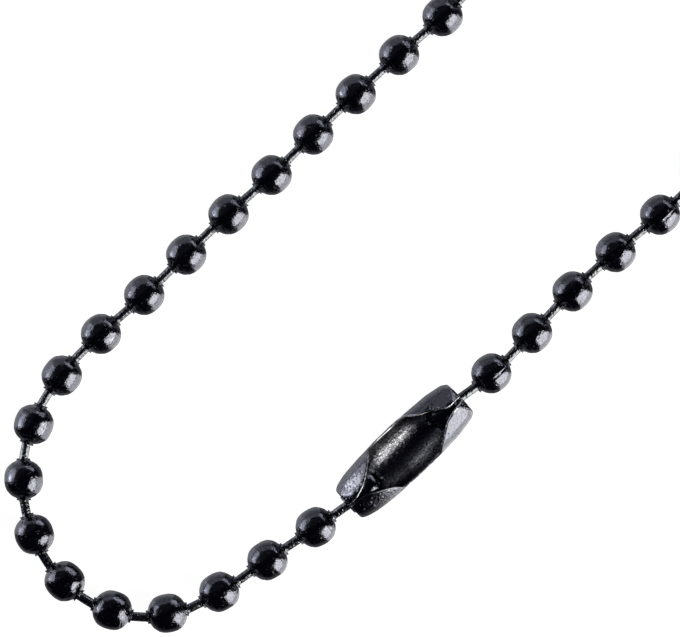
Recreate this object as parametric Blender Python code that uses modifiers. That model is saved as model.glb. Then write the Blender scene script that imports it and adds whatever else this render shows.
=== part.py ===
"""Ball chain: one closed loop, laid flat as a hairpin and snapped shut by its coupling.

Every bead is a hollow ball of thin sheet with a hole at each end. A dumbbell link joins each
bead to the next: its two heads are caught inside the beads and its pin runs out through their
holes. The coupling is a rolled sheet barrel whose mouth faces up. The first and the last bead
of the chain sit in its domed ends, and their links leave through its end holes.

The chain lies on the plane Z = 0. +X runs along the coupling, and the origin is under the
middle of the loop.
"""
import math

import bmesh
import bpy
from mathutils import Matrix, Vector

MM = 0.001

# Bead: a ball a little squarer than a sphere, with a short lip around each hole
BEAD_RADIUS = 1.2 * MM
BEAD_HALF_LENGTH = 1.21 * MM
BEAD_SQUARENESS = 2.3
BEAD_RING_ANGLES = (27, 50, 82, 98, 130, 153)
BEAD_SIDES = 12
LIP_REACH = 1.26 * MM
LIP_RADIUS = 0.44 * MM
HOLE_RADIUS = 0.36 * MM
CAVITY_REACH = 1.02 * MM
CAVITY_SHOULDER = 0.62 * MM
CAVITY_RADIUS = 0.9 * MM

# Link: two heads on one pin
HEAD_RADIUS = 0.41 * MM
HEAD_SPACING = 2.42 * MM
PIN_RADIUS = 0.27 * MM
LINK_SIDES = 8

# Visible pin between two beads that are pulled apart, and what a full turn takes off it
PIN_GAP = 1.09 * MM
LEAD_PIN_GAP = 1.16 * MM
BEND_SLACK = 0.12 * MM
FULL_TURN = 20.0

# Coupling: distance from the middle, radius of the sheet's outside, half width of the cut
COUPLING_OUTLINE = (
    (0.0, 1.74, 1.70),
    (0.8, 1.74, 1.70),
    (1.5, 1.69, 1.56),
    (1.9, 1.66, 1.28),
    (2.4, 1.635, 0.88),
    (3.2, 1.58, 0.39),
    (3.9, 1.47, 0.12),
    (4.35, 1.33, 0.09),
    (4.63, 1.14, 0.09),
    (4.77, 0.92, 0.09),
    (4.83, 0.72, 0.09),
)
COUPLING_SHEET = 0.2 * MM
COUPLING_SIDES = 23
BEAD_SEAT = 3.54 * MM

# Where the cut is nearly as wide as the barrel, it goes on down the sides by this angle
MOUTH_DIP = math.radians(16)
DIP_SHARES = (0.85, 0.977)

# Headings of the links in degrees from +X, walking away from each end of the coupling
RIGHT_STRAND = (-8.5, 3.0, 3.0, -1.5, -5.0)
LEFT_STRAND = (171.5, 170.5, 171.5, 162.5, 133.0, 104.5, 78.5, 57.5, 36.0, 15.0,
               1.5, -3.0, 1.0, 0.5, -2.5, 1.5, 0.0, -1.5, -3.0)
FAR_BEND_START = 5.9
FAR_BEND_TURN = 22.05
FAR_BEND_LINKS = 9
CLOSING_HEADING = 182.0

# Slopes of the first two links, which come down from the coupling's axis to the floor
LEAD_SLOPES = (-9.0, -3.6)

# Beads of the far bend, joined in runs
FAR_RUNS = (3, 2, 2, 3)
PLUG_RADIUS = 0.4 * MM
PLUG_START = 1.1 * MM
PLUG_END = 1.2 * MM

# Finish: glossy blue-black lacquer on steel
BEAD_BLACK = (0.018, 0.019, 0.026, 1.0)
LINK_BLACK = (0.024, 0.024, 0.028, 1.0)
COUPLING_BLACK = (0.022, 0.023, 0.031, 1.0)
GLOSS_ROUGHNESS = 0.22
PIN_ROUGHNESS = 0.35


def clear_scene():
    """Remove every object that the scene starts with."""
    for thing in list(bpy.data.objects):
        bpy.data.objects.remove(thing, do_unlink=True)


def new_collection(name):
    """A fresh collection under the scene."""
    collection = bpy.data.collections.new(name)
    bpy.context.scene.collection.children.link(collection)
    return collection


def new_material(name, colour, roughness):
    """A Principled material in one colour."""
    material = bpy.data.materials.new(name)
    material.use_nodes = True
    shader = material.node_tree.nodes["Principled BSDF"]
    shader.inputs["Base Color"].default_value = colour
    shader.inputs["Roughness"].default_value = roughness
    shader.inputs["Metallic"].default_value = 0.8
    return material


def direction(heading, slope=0.0):
    """Unit vector at a heading and a slope, both in degrees."""
    turn = math.radians(heading)
    rise = math.radians(slope)
    return Vector((math.cos(turn) * math.cos(rise), math.sin(turn) * math.cos(rise), math.sin(rise)))


def bead_ring(angle, half_length, radius):
    """Point of the bead's rounded outline: distance along its axis, and radius."""
    power = 2 / BEAD_SQUARENESS
    along = math.copysign(abs(math.cos(math.radians(angle))) ** power, 90 - angle)
    return along * half_length, math.sin(math.radians(angle)) ** power * radius


def widest_ring_radius():
    """Radius of the middle rings' corners, so that corners and flats average BEAD_RADIUS."""
    return 2 * BEAD_RADIUS / (1 + math.cos(math.pi / BEAD_SIDES))


def bead_outline():
    """Outside of a bead from lip to lip, as (radius, height) pairs running down."""
    widest = bead_ring(BEAD_RING_ANGLES[2], 1, 1)[1]
    rings = [bead_ring(a, BEAD_HALF_LENGTH, widest_ring_radius() / widest) for a in BEAD_RING_ANGLES]
    return [(LIP_RADIUS, LIP_REACH)] + [(r, z) for z, r in rings] + [(LIP_RADIUS, -LIP_REACH)]


def cavity_outline():
    """Hole, cavity and hole of a bead, running back up."""
    half = [(HOLE_RADIUS, LIP_REACH), (HOLE_RADIUS, CAVITY_REACH), (CAVITY_RADIUS, CAVITY_SHOULDER)]
    return [(r, -z) for r, z in half] + half[::-1]


def link_outline():
    """Head, pin and head of a link, running down the axis."""
    middle = HEAD_SPACING / 2
    neck = math.sqrt(HEAD_RADIUS ** 2 - PIN_RADIUS ** 2)
    slant = HEAD_RADIUS * math.sqrt(0.5)
    half = [
        (0.0, middle + HEAD_RADIUS),
        (slant, middle + slant),
        (HEAD_RADIUS, middle),
        (PIN_RADIUS, middle - neck),
    ]
    return half + [(r, -z) for r, z in half[::-1]]


def profile_mesh(name, points, closed):
    """Mesh of a turned piece's profile, drawn in the XZ plane."""
    mesh = bpy.data.meshes.new(name)
    vertices = [(radius, 0.0, height) for radius, height in points]
    edges = [(i, i + 1) for i in range(len(points) - 1)]
    if closed:
        edges.append((len(points) - 1, 0))
    mesh.from_pydata(vertices, edges, [])
    return mesh


def turned(name, mesh, sides, collection, material):
    """Object that turns a profile once around its own Z axis."""
    thing = bpy.data.objects.new(name, mesh)
    collection.objects.link(thing)
    screw = thing.modifiers.new("turn", "SCREW")
    screw.steps = sides
    screw.render_steps = sides
    screw.use_merge_vertices = True
    screw.merge_threshold = 0.000001
    screw.use_smooth_shade = True
    if not mesh.materials:
        mesh.materials.append(material)
    return thing


def stand_along(thing, centre, axis, sides, root):
    """Place a turned piece with its axis along a direction and one of its flats facing down."""
    side = Vector((0, 0, 1)).cross(axis).normalized()
    down = side.cross(axis)
    basis = Matrix((down, axis.cross(down), axis)).transposed()
    flat_down = Matrix.Rotation(-math.pi / sides, 3, "Z")
    thing.rotation_euler = (basis @ flat_down).to_euler()
    thing.location = centre
    thing.parent = root


def mouth_angle(radius, half_width):
    """Angle from the top at which the coupling's cut meets the sheet."""
    share = half_width / radius
    deep = (share - DIP_SHARES[0]) / (DIP_SHARES[1] - DIP_SHARES[0])
    deep = min(1.0, max(0.0, deep))
    return math.asin(share) + MOUTH_DIP * deep * deep * (3 - 2 * deep)


def coupling_axis_height():
    """Height of the coupling's axis when the flat under its belly lies on the floor."""
    _, radius, half_width = COUPLING_OUTLINE[0]
    sheet_angle = math.pi - mouth_angle(radius, half_width)
    return radius * MM * math.cos(sheet_angle / COUPLING_SIDES)


def resting_height(slope):
    """Height of a bead's centre when the flats of its middle band touch the floor."""
    rise = math.radians(abs(slope))
    band = bead_ring(BEAD_RING_ANGLES[2], BEAD_HALF_LENGTH, 1)[0]
    return widest_ring_radius() * math.cos(math.pi / BEAD_SIDES) * math.cos(rise) + band * math.sin(rise)


def pin_gap(turn_before, turn_after):
    """Visible length of a pin: a chain that turns pushes its heads further in."""
    turn = max(abs(turn_before), abs(turn_after))
    return PIN_GAP - BEND_SLACK * min(1.0, turn / FULL_TURN)


def lay_strand(side, headings, closing):
    """Beads as (centre, axis) pairs, walking out of one end of the coupling.

    Each bead's axis halves the turn between its two links, and each pin runs from the
    middle of one bead's hole to the middle of the next one's.
    """
    turns = (90 - 90 * side,) + tuple(headings) + (closing,)
    slopes = (0.0,) + LEAD_SLOPES + (0.0,) * (len(headings) - 1)
    centre = Vector((side * BEAD_SEAT, 0, coupling_axis_height()))
    axis = direction(turns[0])
    beads = [(centre, axis)]
    for k in range(1, len(headings) + 1):
        gap = pin_gap(turns[k] - turns[k - 1], turns[k + 1] - turns[k])
        if k == 1:
            gap = LEAD_PIN_GAP
        slope = (slopes[k] + slopes[k + 1]) / 2
        next_axis = direction((turns[k] + turns[k + 1]) / 2, slope)
        centre = centre + LIP_REACH * (axis + next_axis) + gap * direction(turns[k], slopes[k])
        centre.z = max(centre.z, resting_height(slope))
        axis = next_axis
        beads.append((centre, axis))
    return beads


def lay_chain():
    """All beads in order around the loop, from the coupling's right end to its left end."""
    far_bend = tuple(FAR_BEND_START + k * FAR_BEND_TURN for k in range(FAR_BEND_LINKS))
    right = lay_strand(1, RIGHT_STRAND + (0.0,) + far_bend, CLOSING_HEADING)
    left = lay_strand(-1, LEFT_STRAND, CLOSING_HEADING - 180)
    return right + [(centre, -axis) for centre, axis in reversed(left)]


def pin_between(beads, k):
    """Middle, direction and length of the pin between two neighbouring holes."""
    start = beads[k][0] + beads[k][1] * LIP_REACH
    end = beads[k + 1][0] - beads[k + 1][1] * LIP_REACH
    return (start + end) / 2, (end - start).normalized(), (end - start).length


def loop_middle(beads):
    """Middle of the ground that the chain covers."""
    flat = widest_ring_radius() * math.cos(math.pi / BEAD_SIDES)
    xs = [centre.x for centre, _ in beads]
    ys = [centre.y for centre, _ in beads]
    lowest_y = -COUPLING_OUTLINE[0][1] * MM
    return Vector(((min(xs) + max(xs)) / 2, (lowest_y + max(ys) + flat) / 2, 0))


def make_coupling(collection, material, root):
    """Rolled sheet barrel with domed ends, a wide mouth on top and a slit to each end."""
    half = COUPLING_OUTLINE[1:]
    stations = [(-u, r, w) for u, r, w in reversed(half)] + list(COUPLING_OUTLINE)
    spans = len(stations) - 1
    sheet = bmesh.new()
    bmesh.ops.create_grid(sheet, x_segments=spans, y_segments=COUPLING_SIDES, size=1)
    for corner in sheet.verts:
        along, radius, half_width = stations[round((corner.co.x + 1) / 2 * spans)]
        opening = mouth_angle(radius, half_width)
        angle = opening + (corner.co.y + 1) * (math.pi - opening)
        corner.co = Vector((along, radius * math.sin(angle), radius * math.cos(angle))) * MM
    mesh = bpy.data.meshes.new("coupling")
    sheet.to_mesh(mesh)
    sheet.free()
    mesh.shade_smooth()
    mesh.materials.append(material)
    coupling = bpy.data.objects.new("coupling", mesh)
    collection.objects.link(coupling)
    thickness = coupling.modifiers.new("sheet", "SOLIDIFY")
    thickness.thickness = COUPLING_SHEET
    thickness.offset = -1
    thickness.use_even_offset = True
    coupling.location = (0, 0, coupling_axis_height())
    coupling.parent = root


def make_far_run(name, meshes, beads, first, count, collection, guides, materials, root):
    """Beads of the far bend fused by their pins: hollow at both ends, solid between."""
    run = turned(name, meshes["bead"], BEAD_SIDES, collection, materials["bead"])
    stand_along(run, *beads[first], BEAD_SIDES, root)
    pieces = bpy.data.collections.new(name + "_pieces")
    guides.children.link(pieces)
    for k in range(first + 1, first + count):
        shape = "bead" if k == first + count - 1 else "solid_bead"
        ball = turned(f"{name}_bead_{k}", meshes[shape], BEAD_SIDES, pieces, materials["bead"])
        stand_along(ball, *beads[k], BEAD_SIDES, root)
    for k in range(first, first + count - 1):
        middle, axis, gap = pin_between(beads, k)
        inner = gap / 2 + LIP_REACH - PLUG_START
        outer = gap / 2 + LIP_REACH - PLUG_END
        half = [(0.0, inner), (PLUG_RADIUS, inner), (PLUG_RADIUS, outer), (PIN_RADIUS, outer)]
        outline = half + [(r, -z) for r, z in half[::-1]]
        mesh = profile_mesh(f"{name}_pin_{k}", outline, False)
        pin = turned(f"{name}_pin_{k}", mesh, LINK_SIDES, pieces, materials["link"])
        stand_along(pin, middle, axis, LINK_SIDES, root)
    for piece in pieces.objects:
        piece.hide_render = True
        piece.display_type = "WIRE"
    fuse = run.modifiers.new("fuse", "BOOLEAN")
    fuse.operation = "UNION"
    fuse.operand_type = "COLLECTION"
    fuse.collection = pieces


def make_chain(beads, collection, guides, materials, root):
    """Beads and links of the whole loop, with the far bend in fused runs."""
    outline = bead_outline()
    solid = [(0.0, LIP_REACH)] + outline + [(0.0, -LIP_REACH)]
    meshes = {
        "bead": profile_mesh("bead_profile", outline + cavity_outline(), True),
        "solid_bead": profile_mesh("solid_bead_profile", solid, False),
        "link": profile_mesh("link_profile", link_outline(), False),
    }
    far_start = len(RIGHT_STRAND) + 1
    far_end = far_start + sum(FAR_RUNS)
    run_starts = [far_start + sum(FAR_RUNS[:k]) for k in range(len(FAR_RUNS))]
    for number, (start, count) in enumerate(zip(run_starts, FAR_RUNS), 1):
        name = f"far_beads_{number}"
        make_far_run(name, meshes, beads, start, count, collection, guides, materials, root)

    bead_number = 0
    for k, (centre, axis) in enumerate(beads):
        if far_start <= k < far_end:
            continue
        bead_number += 1
        bead = turned(f"bead_{bead_number:02d}", meshes["bead"], BEAD_SIDES, collection, materials["bead"])
        stand_along(bead, centre, axis, BEAD_SIDES, root)

    link_number = 0
    far_number = 0
    for k in range(len(beads) - 1):
        inside_far = far_start <= k < far_end - 1
        if inside_far and k + 1 not in run_starts:
            continue
        if inside_far:
            far_number += 1
            name = f"far_link_{far_number}"
        else:
            link_number += 1
            name = f"link_{link_number:02d}"
        middle, axis, _ = pin_between(beads, k)
        link = turned(name, meshes["link"], LINK_SIDES, collection, materials["link"])
        stand_along(link, middle, axis, LINK_SIDES, root)


def main():
    """Model the whole chain."""
    clear_scene()
    collection = new_collection("ball_chain")
    guides = new_collection("guides")
    materials = {
        "bead": new_material("bead_black", BEAD_BLACK, GLOSS_ROUGHNESS),
        "link": new_material("link_black", LINK_BLACK, PIN_ROUGHNESS),
        "coupling": new_material("coupling_black", COUPLING_BLACK, GLOSS_ROUGHNESS),
    }
    beads = lay_chain()
    root = bpy.data.objects.new("ball_chain", None)
    collection.objects.link(root)
    root.location = -loop_middle(beads)
    make_chain(beads, collection, guides, materials, root)
    make_coupling(collection, materials["coupling"], root)


main()
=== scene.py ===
"""Black ball chain, closed by its coupling and laid out as a hairpin.

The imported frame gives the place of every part. The beads, the links and the coupling are
modelled here again with their formed details, and each one stands for its CAD node.
"""

import math
import random

import bmesh
import bpy
from mathutils import Matrix, Vector


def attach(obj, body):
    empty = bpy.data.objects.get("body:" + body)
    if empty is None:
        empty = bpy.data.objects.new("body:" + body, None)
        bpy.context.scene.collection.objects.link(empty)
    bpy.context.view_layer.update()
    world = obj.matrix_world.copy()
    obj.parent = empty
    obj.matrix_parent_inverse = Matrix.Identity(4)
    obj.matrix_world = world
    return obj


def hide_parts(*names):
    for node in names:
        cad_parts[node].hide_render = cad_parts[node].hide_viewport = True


bl_info = {
    "name": "Ball chain",
    "version": (1, 0, 0),
    "blender": (4, 5, 0),
    "location": "View3D > Sidebar > Ball Chain",
    "description": "Models a black ball chain with its coupling over the packed frame",
    "category": "Add Mesh",
}

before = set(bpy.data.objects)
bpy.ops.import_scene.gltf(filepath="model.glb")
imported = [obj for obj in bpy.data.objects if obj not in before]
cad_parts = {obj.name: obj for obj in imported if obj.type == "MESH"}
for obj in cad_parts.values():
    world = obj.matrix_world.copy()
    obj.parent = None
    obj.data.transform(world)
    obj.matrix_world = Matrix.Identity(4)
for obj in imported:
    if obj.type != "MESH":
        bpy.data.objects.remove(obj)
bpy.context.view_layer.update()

MM = 0.001
UP = Vector((0, 0, 1))
BODY = "root"

# Modelling: size of a first face, and how near two places count as the same
SEED_SIZE = 0.02 * MM
WELD = 0.0001 * MM
ROW_TOLERANCE = 5 * WELD
ON_LINE = 0.002 * MM
SMOOTH_ANGLE = math.radians(38)

# Lacquer: depths in mm of its grain, waves and pits on each piece
BEAD_SKIN = (0.013, 0.012, 0.006)
COUPLING_SKIN = (0.013, 0.012, 0.012)
LINK_SKIN = (0.03, 0.03, 0.02)
INSIDE_SKIN = (0.028, 0.01, 0.01)
EDGE_SKIN = (0.008, 0.02, 0.004)

# Lacquer: scales per metre of the grain and waves that have no setting
LINK_WAVE_SCALE = 2500.0
INSIDE_GRAIN_SHARE = 1.1
INSIDE_WAVE_SCALE = 1500.0
EDGE_GRAIN_SCALE = 9000.0
EDGE_WAVE_SCALE = 2500.0

# Lacquer: its lowest and highest roughness, its darker blotches, its pits and its coarse grain
BEAD_GLOSS = (0.1, 0.18)
COUPLING_GLOSS = (0.1, 0.2)
DARK_SHARE = 0.68
BLOTCH_SHARE = 0.8
BLOTCH_EDGE = (0.3, 0.62)
PIT_SHARE = 0.45
PIT_EDGE = (0.12, 0.3, 1.0, 0.0)
PIT_ROUGHNESS = 0.2
GRIT_SCALE = 11500.0
GRIT_DEPTH = 0.02

# Rubbed metal: noise scales of its patches and nicks on each finish, and how its mask is made; on
# the coupling the mask also carries painted highlights
LACQUER_RUBBING = (7500.0, 9000.0)
LINK_RUBBING = (5000.0, 8000.0)
RUB_AND_HIGHLIGHT_SHARE = 0.55
WORN_AND_HIGHLIGHT_EDGE = (0.78, 1.0)
NICK_TURN = (0.3, 0.5, 0.9)
NICK_STRETCH = (0.16, 1.0, 1.0)
NICK_EDGE = (0.76, 0.8, 0.0, 0.2)
BARE_ROUGHNESS = 0.46

# Uneven values: noise scale per metre, the noise at the two ends, and the value there, which is
# the gloss for the lacquer's patches and goes from 0 to 1 for the specks of the cut edge
LACQUER_PATCHES = (4200.0, 0.3, 0.75)
LINK_PATCHES = (6000.0, 0.3, 0.75, 0.16, 0.34)
INSIDE_SPECKS = (11000.0, 0.36, 0.64, 0.15, 1.85)
INSIDE_PATCHES = (5200.0, 0.3, 0.75, 0.34, 0.22)
EDGE_SPECKS = (5000.0, 0.48, 0.66)
EDGE_PATCHES = (7000.0, 0.3, 0.7, 0.35, 0.7)
FLOOR_PATCHES = (30.0, 0.3, 0.7, 0.12, 0.18)

# Route of the chain, as in the part's source
BEAD_SQUARENESS = 2.3
ROUTE_RADIUS = 1.2 * MM
ROUTE_HALF_LENGTH = 1.21 * MM
ROUTE_BAND_ANGLE = 82
ROUTE_SIDES = 12
LIP_REACH = 1.26 * MM
PIN_GAP = 1.09 * MM
LEAD_PIN_GAP = 1.16 * MM
BEND_SLACK = 0.12 * MM
FULL_TURN = 20.0
BEAD_SEAT = 3.54 * MM
BARREL_RADIUS = 1.74
BARREL_MOUTH = 1.70
BARREL_SIDES = 23
MOUTH_DIP = math.radians(16)
DIP_SHARES = (0.85, 0.977)
RIGHT_STRAND = (-8.5, 3.0, 3.0, -1.5, -5.0)
LEFT_STRAND = (171.5, 170.5, 171.5, 162.5, 133.0, 104.5, 78.5, 57.5, 36.0, 15.0,
               1.5, -3.0, 1.0, 0.5, -2.5, 1.5, 0.0, -1.5, -3.0)
FAR_BEND_START = 5.9
FAR_BEND_TURN = 22.05
FAR_BEND_LINKS = 9
CLOSING_HEADING = 182.0
LEAD_SLOPES = (-9.0, -3.6)
FAR_RUNS = (3, 2, 2, 3)

# Bead: angles of the rounded outside, then lip, hole and inside as (radius, height) in mm
BEAD_STEPS = 64
BEAD_LAST_ANGLE = 24
BEAD_ANGLE_STEP = 3
CREASE_ANGLE = 54
CREASE_WIDTH = 1.6
LIP_OUTLINE = (
    (0.470, 1.137),
    (0.432, 1.160),
    (0.417, 1.188),
    (0.424, 1.215),
    (0.446, 1.236),
    (0.456, 1.256),
    (0.447, 1.274),
    (0.420, 1.284),
    (0.390, 1.280),
    (0.368, 1.262),
    (0.360, 1.235),
    (0.360, 1.160),
)
INSIDE_OUTLINE = (
    (0.42, 1.05),
    (0.62, 0.92),
    (0.82, 0.68),
    (0.93, 0.38),
    (0.97, 0.0),
)
SEAM_SPAN = (-0.28, 1.14)
SEAM_SHARE = 78
SEAM_SHIFT = 0.03
SEAM_PRESSES = (-1.0, -0.16)
EAR_START = 1.2
EAR_NOTCHES = (0, 65, 130, 200, 270)
EAR_TWIST = 20
EAR_NOTCH_WIDTH = 12
EAR_NOTCH_INNER = 0.4
EAR_PRESS = (0.91, 0.91, 0.985)
GAP_SPAN = (0.86, 1.17)
GAP_HALF_WIDTH = 2.85
GAP_PRESS = (0.94, 0.94, 1.0)
OUTER_WALL = 1.18

# Rubbing of the beads and links: of a collar, then as (most, middle, fade) of the others, in mm
COLLAR_WEAR = 0.45
COLLAR_FADE = 0.08
CREASE_WEAR = (0.5, 0.765, 0.05)
SEAM_WEAR = (0.5, 0.09, 0.06)
LINK_WEAR = (0.5, 0.5, 0.35)
UNRUBBED_RADIUS = 0.3

# How far the two beads in the coupling lie back from its ends, in mm along it
END_BEAD_SHIFTS = {"bead_01": -0.05, "bead_26": 0.2}

# Roll of the beads whose seam shows in the photograph, by their place in the loop
SEEN_SEAMS = {1: 18, 5: 20, 26: -35}
HIDDEN_SEAM_ROLL = (115, 245)
ROLL_SEED = 7

# Link: half of its outline from the middle of the pin to the end of the head, in mm
LINK_STEPS = 24
HEAD_MIDDLE = 1.21
HEAD_RADIUS = 0.41
HEAD_ANGLES = (132, 110, 90, 66, 42, 20, 0)
NOTCH_PLACE = 0.36
NOTCH_HALF_WIDTH = 0.045
PIN_RINGS = (
    0.0,
    0.15,
    NOTCH_PLACE - NOTCH_HALF_WIDTH,
    NOTCH_PLACE,
    NOTCH_PLACE + NOTCH_HALF_WIDTH,
    0.6,
    0.8,
)
LINK_DENT_SIZE = 0.4
LINK_DENT_DEPTH = 0.012

# Coupling from left to right: place along the axis, radius of the sheet's outside, and the
# two edges of the cut across the axis, in mm; where the cut is nearly as wide as the barrel, it
# goes on down the sides
COUPLING_ROWS = (
    (-4.83, 0.65, -0.02, -0.16),
    (-4.74, 0.68, -0.02, -0.16),
    (-4.66, 0.74, -0.02, -0.16),
    (-4.64, 0.82, -0.03, -0.17),
    (-4.68, 0.91, -0.04, -0.17),
    (-4.72, 1.01, -0.04, -0.18),
    (-4.70, 1.12, -0.05, -0.19),
    (-4.60, 1.22, -0.05, -0.19),
    (-4.35, 1.34, -0.05, -0.20),
    (-3.83, 1.48, 0.03, -0.23),
    (-3.40, 1.55, 0.20, -0.37),
    (-2.95, 1.60, 0.43, -0.66),
    (-2.36, 1.64, 0.89, -0.98),
    (-2.00, 1.655, 1.18, -1.20),
    (-1.55, 1.69, 1.54, -1.57),
    (-0.80, 1.74, 1.70, -1.70),
    (0.00, 1.74, 1.70, -1.70),
    (0.80, 1.74, 1.70, -1.70),
    (1.50, 1.69, 1.57, -1.61),
    (1.92, 1.66, 1.28, -1.35),
    (2.31, 1.64, 1.00, -1.10),
    (2.75, 1.61, 0.78, -0.80),
    (3.30, 1.57, 0.43, -0.44),
    (3.90, 1.47, 0.11, -0.28),
    (4.40, 1.37, 0.10, -0.19),
    (4.63, 1.24, 0.09, -0.16),
    (4.74, 1.14, 0.08, -0.15),
    (4.77, 1.03, 0.08, -0.14),
    (4.75, 0.92, 0.08, -0.13),
    (4.71, 0.82, 0.08, -0.13),
    (4.71, 0.74, 0.08, -0.12),
    (4.75, 0.68, 0.08, -0.12),
    (4.82, 0.65, 0.08, -0.12),
)
ROWS_BETWEEN = 3

# Roof of the coupling's ends: how far each flap stands up along the slit and is pressed flat
# beside it, and how far both reach, in mm; the flaps go by their end and their side
ROOF_SPAN = (2.6, 4.2)
ROOF_STRIP = (-0.04, 0.3)
RIDGE_RISES = {(-1, 1): 0.2, (-1, -1): 0.0, (1, 1): 0.2, (1, -1): 0.2}
RIDGE_REACH = 0.7
FLAT_PLACE = (0.8, 0.92)
FLAT_PRESS = 0.25
FLAT_REACH = 0.4

# Left lower flap: where its pressed end starts along, across and above the axis, how far it is
# pressed down, and how far that reaches, in mm
SAG_START = -4.1
SAG_SIDE = -0.2
SAG_HEIGHT = 0.3
SAG = 0.16
SAG_REACH = 2.3

# Sheet of the coupling: steps around it, and the rounding of its edges
COUPLING_STEPS = 64
EDGE_SEGMENTS = 3
EDGE_ANGLE = math.radians(45)

# Rubbing of the coupling: along the cut, at the shoulders as (most, middle, fade), and on one flap
# as an oval patch of (middle along, middle across, reach along, reach across), in mm, whose rubbed
# metal is also a painted highlight on that flap; every patch has the same amount at its middle
RUBBED_BAND = 0.09
BAND_WEAR = 1.25
SHOULDER_WEAR = (0.62, 4.62, 0.2)
FLAP_PATCH = (-3.5, 0.75, 1.0, 0.45)
FLAP_RUB_AND_HIGHLIGHT = 0.9
FLAP_MOST = 0.72
PATCH_CORE = 1.3

# Brighter metal inside the coupling, which is what lies deeper than a share of the sheet, partly
# rubbing by the bead and partly a painted highlight that follows the streak of reflected light: on
# its upper and lower side as (middle, most), how far it reaches along the barrel, and where it
# starts and how it grows across the barrel, in mm
INNER_SHARE = 0.9
INSIDE_RUB_AND_HIGHLIGHT = ((-0.1, 0.68), (1.1, 0.72))
INSIDE_REACH = 1.65
INSIDE_START = 0.2
INSIDE_GROWTH = 0.8

# Coarse grain on the coupling: on the lower and upper half of its left end, where that starts
# and how it grows, in mm, and an oval patch at the right end
GRIT_LOWER = 1.0
GRIT_UPPER = 0.25
GRIT_START = -1.4
GRIT_GROWTH = 0.6
GRIT_PATCH = (4.45, -0.7, 0.4, 0.7)

# Bright burrs on the cut edge, near-white bare metal that also paints highlight lines along these
# spans of the edge, as (middle, half length, side, largest radius), in mm
BURRS_AND_HIGHLIGHT_LINES = ((1.9, 0.9, 1, 1.8), (-2.2, 0.9, -1, 1.8), (-0.15, 0.7, 1, 1.66))
BURR_HIGHLIGHT_STRENGTH = 2.5
BURR_HIGHLIGHT_COLOUR = (0.95, 0.95, 0.97)
BURR_ROUGHNESS = 0.62

# Camera: where it looks in the frame, how much it sees, and how it is turned
VIEW_MIDDLE = (-4.286 * MM, -0.132 * MM, 1.2 * MM)
VIEW_WIDTH = 41.85 * MM
VIEW_TURN = math.radians(-43.6)
LENS = 300.0
SENSOR = 36.0
CLIP_START = 0.01
CLIP_END = 10.0

# Soft boxes: heading, half of the spread, lowest and highest angle in degrees
SOFT_BOXES = {
    "key": (-70.0, 26.0, -8.0, 47.0),
    "key_low": (-71.0, 27.0, -33.0, -8.0),
    "key_rim": (-71.0, 27.0, -66.0, -33.0),
    "fill": (118.0, 24.0, -3.0, 31.0),
    "fill_top": (128.0, 20.0, 31.0, 41.0),
    "fill_low": (118.0, 25.0, -33.0, -3.0),
    "fill_rim": (118.0, 25.0, -62.0, -33.0),
    "fill_halo": (130.0, 15.0, -9.0, 16.0),
    "fill_core": (134.0, 5.5, -4.0, 7.0),
    "back": (64.0, 31.0, -60.0, 28.0),
    "sky": (85.0, 58.0, 33.0, 74.0),
    "end": (14.0, 20.0, 0.0, 24.0),
}
LIGHT_DISTANCE = 0.8
TINTS = {
    "key": (1.0, 0.985, 0.9),
    "key_low": (1.0, 0.985, 0.95),
    "key_rim": (1.0, 0.985, 0.95),
}
COOL = (0.96, 0.97, 1.0)

# Floor and surround
FLOOR_RADIUS = 3.0
FLOOR_SIDES = 96
FLOOR_RIM = 0.02
WHITE = (1.0, 1.0, 1.0, 1.0)
BLACK = (0.0, 0.0, 0.0, 1.0)
SURROUND_COLOUR = (0.42, 0.45, 1.0, 1.0)
SURROUND_STRENGTH = 0.02

# Glow board: its colour and sides, its depth under the floor, and the angles from straight down
# up to which it is full and at which it ends
GLOW_COLOUR = (0.94, 0.94, 1.0, 1.0)
GLOW_SIDES = 64
GLOW_DEPTH = 3.0
GLOW_FULL = 42.0
GLOW_END = 74.0


# Settings

def length_setting(name, description, default, smallest, precision=5):
    """Setting for a length; the default and the smallest value are given in mm."""
    return bpy.props.FloatProperty(
        name=name,
        description=description,
        default=default * MM,
        min=smallest * MM,
        unit="LENGTH",
        precision=precision,
    )


def depth_setting(name, description, default):
    """Setting for a fine depth or width, given in mm, which may be zero."""
    return length_setting(name, description, default, 0.0, precision=6)


def colour_setting(name, description, default):
    """Setting for a colour."""
    return bpy.props.FloatVectorProperty(
        name=name,
        description=description,
        subtype="COLOR",
        size=3,
        min=0.0,
        max=1.0,
        default=default,
    )


def light_setting(name, description, default):
    """Setting for a brightness."""
    return bpy.props.FloatProperty(name=name, description=description, default=default, min=0.0)


# Route

def direction(heading, slope=0.0):
    """Unit vector at a heading and a slope, both in degrees."""
    turn = math.radians(heading)
    rise = math.radians(slope)
    return Vector((math.cos(turn) * math.cos(rise), math.sin(turn) * math.cos(rise), math.sin(rise)))


def bead_ring(angle, half_length, radius):
    """Point of the bead's rounded outline: distance along its axis, and radius."""
    power = 2 / BEAD_SQUARENESS
    along = math.copysign(abs(math.cos(math.radians(angle))) ** power, 90 - angle)
    return along * half_length, math.sin(math.radians(angle)) ** power * radius


def flat_radius():
    """Distance from a CAD bead's axis to the flats of its middle band."""
    corner = 2 * ROUTE_RADIUS / (1 + math.cos(math.pi / ROUTE_SIDES))
    return corner * math.cos(math.pi / ROUTE_SIDES)


def cut_angle(edge, radius):
    """Angle from the top at which the cut meets the sheet, for its place across the axis."""
    share = edge / radius
    deep = (share - DIP_SHARES[0]) / (DIP_SHARES[1] - DIP_SHARES[0])
    deep = min(1.0, max(0.0, deep))
    return math.asin(share) + MOUTH_DIP * deep * deep * (3 - 2 * deep)


def coupling_axis_height():
    """Height of the coupling's axis over the floor."""
    sheet_angle = math.pi - cut_angle(BARREL_MOUTH, BARREL_RADIUS)
    return BARREL_RADIUS * MM * math.cos(sheet_angle / BARREL_SIDES)


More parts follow.
